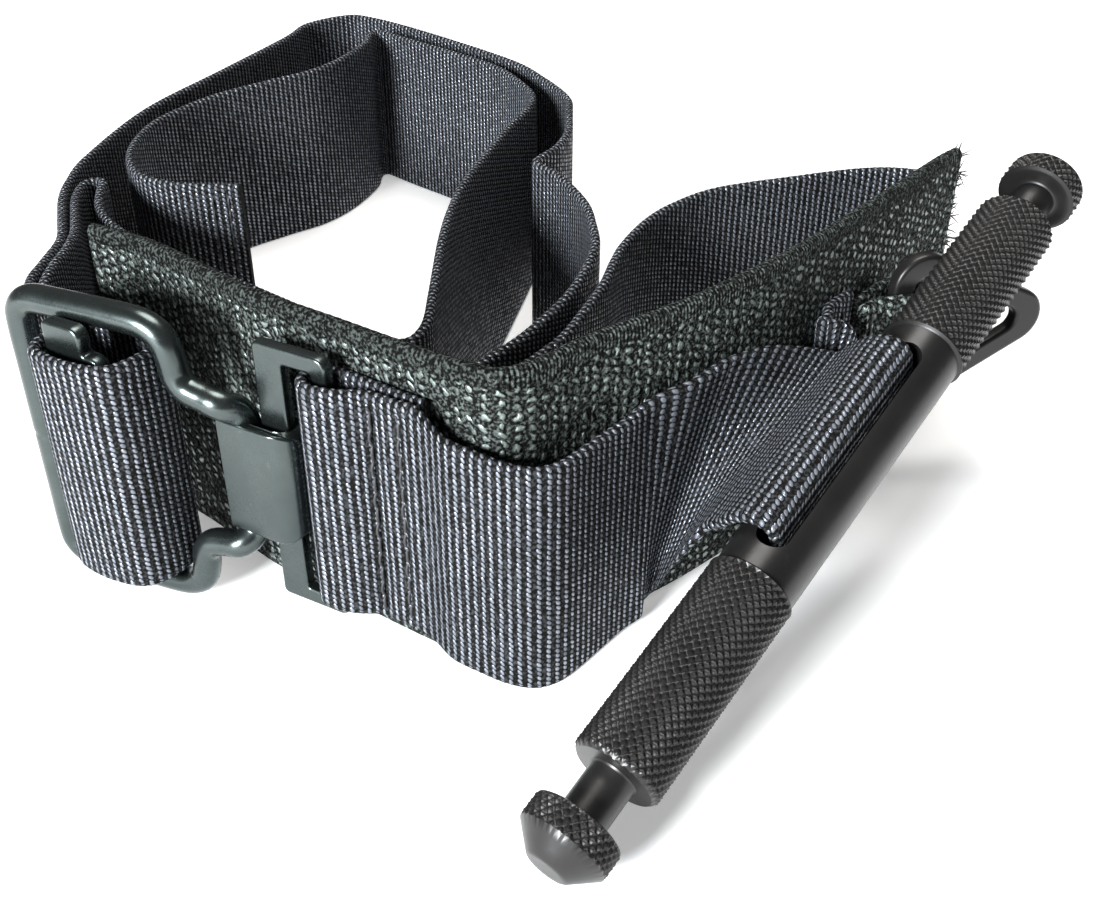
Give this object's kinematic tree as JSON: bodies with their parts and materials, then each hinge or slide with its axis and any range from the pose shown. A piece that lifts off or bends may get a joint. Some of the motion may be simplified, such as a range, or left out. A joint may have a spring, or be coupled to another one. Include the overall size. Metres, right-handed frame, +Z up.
{
  "type": "windlass tourniquet",
  "caption": "Windlass tourniquet: a coarse webbing pad with a strap, a hook buckle with a sliding bar, a turned windlass rod in a strap loop and a flat ring that holds the rod.",
  "frame": {"origin": "bottom centre of the bounding box, on the ground the webbing's edges stand on", "axes": "+X to the right along the front, +Y away towards the coiled strap, +Z up across the webbing's width"},
  "size_m": [0.1774, 0.2472, 0.0555],
  "materials": {
    "smooth_webbing": "smooth black woven nylon, slightly glossy yarns",
    "coarse_webbing": "coarse fuzzy black nylon webbing",
    "thread": "black bonded sewing thread",
    "dark_steel": "dark grey satin",
    "black_alloy": "black anodised, satin, handles knurled"
  },
  "bodies": {
    "webbing": {"base_webbing": "coarse_webbing", "back_webbing": "smooth_webbing", "tail_webbing": "smooth_webbing", "front_webbing": "smooth_webbing", "anchor_webbing": "smooth_webbing", "ring_webbing": "coarse_webbing", "seam_plate_near": "thread", "seam_plate_far": "thread", "seam_anchor": "thread", "seam_ring": "thread", "seam_back": "thread", "seam_hem_near": "thread", "seam_hem_far": "thread"},
    "keeper": {"keeper_plate": "dark_steel"},
    "buckle": {"buckle_frame": "dark_steel", "buckle_hook": "dark_steel"},
    "slider": {"slider_bar": "dark_steel", "slider_webbing": "smooth_webbing"},
    "windlass": {"windlass": "black_alloy", "windlass_webbing": "smooth_webbing"},
    "ring": {"lock_ring": "black_alloy"}
  },
  "joints": [
    {"name": "plate_swing", "type": "hinge", "parent": "webbing", "child": "keeper", "pos_m": [-0.02882, -0.07129, 0], "axis": [0, 0, 1], "range_deg": [0, 10]},
    {"name": "hook_swing", "type": "hinge", "parent": "keeper", "child": "buckle", "pos_m": [-0.03636, -0.06694, 0], "axis": [0, 0, 1], "range_deg": [0, 10]},
    {"name": "slider_slide", "type": "slide", "parent": "buckle", "child": "slider", "axis": [0.9144, -0.4048, 0], "range_m": [-0.0015, 0]},
    {"name": "windlass_turn", "type": "hinge", "parent": "webbing", "child": "windlass", "pos_m": [0.04255, -0.0702, 0.02795], "axis": [0.5609, -0.6795, 0.4729], "continuous": true},
    {"name": "ring_swing", "type": "hinge", "parent": "webbing", "child": "ring", "pos_m": [0.06015, -0.03015, 0.0265], "axis": [0, 0, 1], "range_deg": [0, 31]}
  ]
}
